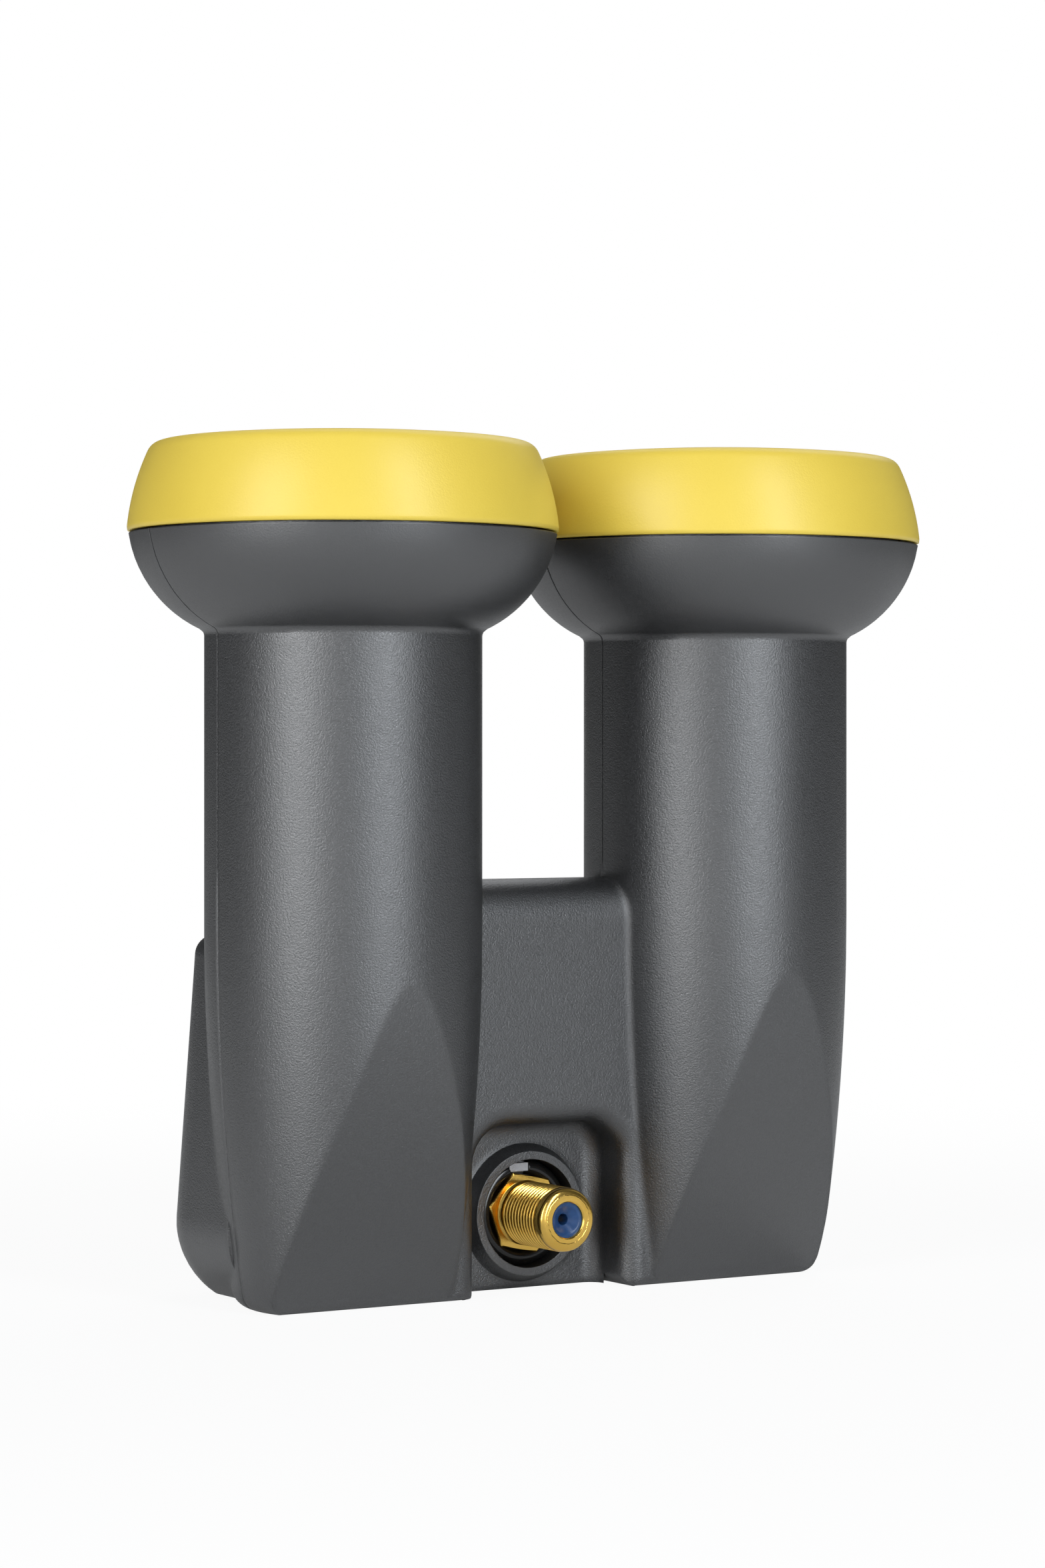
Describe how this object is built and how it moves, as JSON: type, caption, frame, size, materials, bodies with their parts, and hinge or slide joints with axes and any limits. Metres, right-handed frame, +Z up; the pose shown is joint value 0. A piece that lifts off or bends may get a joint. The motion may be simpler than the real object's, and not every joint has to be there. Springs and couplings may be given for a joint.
{
  "type": "satellite lnb",
  "caption": "Dish receiver head with twin capped feed horns on round necks, a two-shell grey housing with arched front facets and a gold threaded output connector.",
  "frame": {"origin": "on the base, midway between the two feed axes and in their plane", "axes": "+Z up along the feed axes towards the caps, -Y to the front with the connector, +X from the left feed to the right feed"},
  "size_m": [0.1272, 0.0622, 0.1254],
  "materials": {
    "housing": "fine spark-eroded texture",
    "cap": "satin",
    "rubber": "smooth",
    "casting": "rough as cast",
    "sheet": "rolled sheet",
    "steel": "plain",
    "board": "solder resist",
    "chip": "moulded",
    "bead": "waxy",
    "gold": "gold-plated, turned",
    "insulator": "smooth"
  },
  "bodies": {
    "root": {"amplifier_chips": "chip", "board_screws": "steel", "cast_body": "casting", "circuit_board": "board", "connector_body": "gold", "connector_contact": "gold", "connector_insulator": "insulator", "connector_seal": "rubber", "converter_chips": "chip", "cover_gasket": "rubber", "cover_screws": "steel", "crystals": "steel", "front_shell": "housing", "left_cap_seal": "rubber", "left_cross_probe": "gold", "left_feed_cap": "cap", "left_upright_probe": "gold", "probe_beads": "bead", "rear_shell": "housing", "regulator": "chip", "right_cap_seal": "rubber", "right_cross_probe": "gold", "right_feed_cap": "cap", "right_upright_probe": "gold", "switch_chip": "chip", "tray_cover": "sheet"}
  },
  "joints": []
}
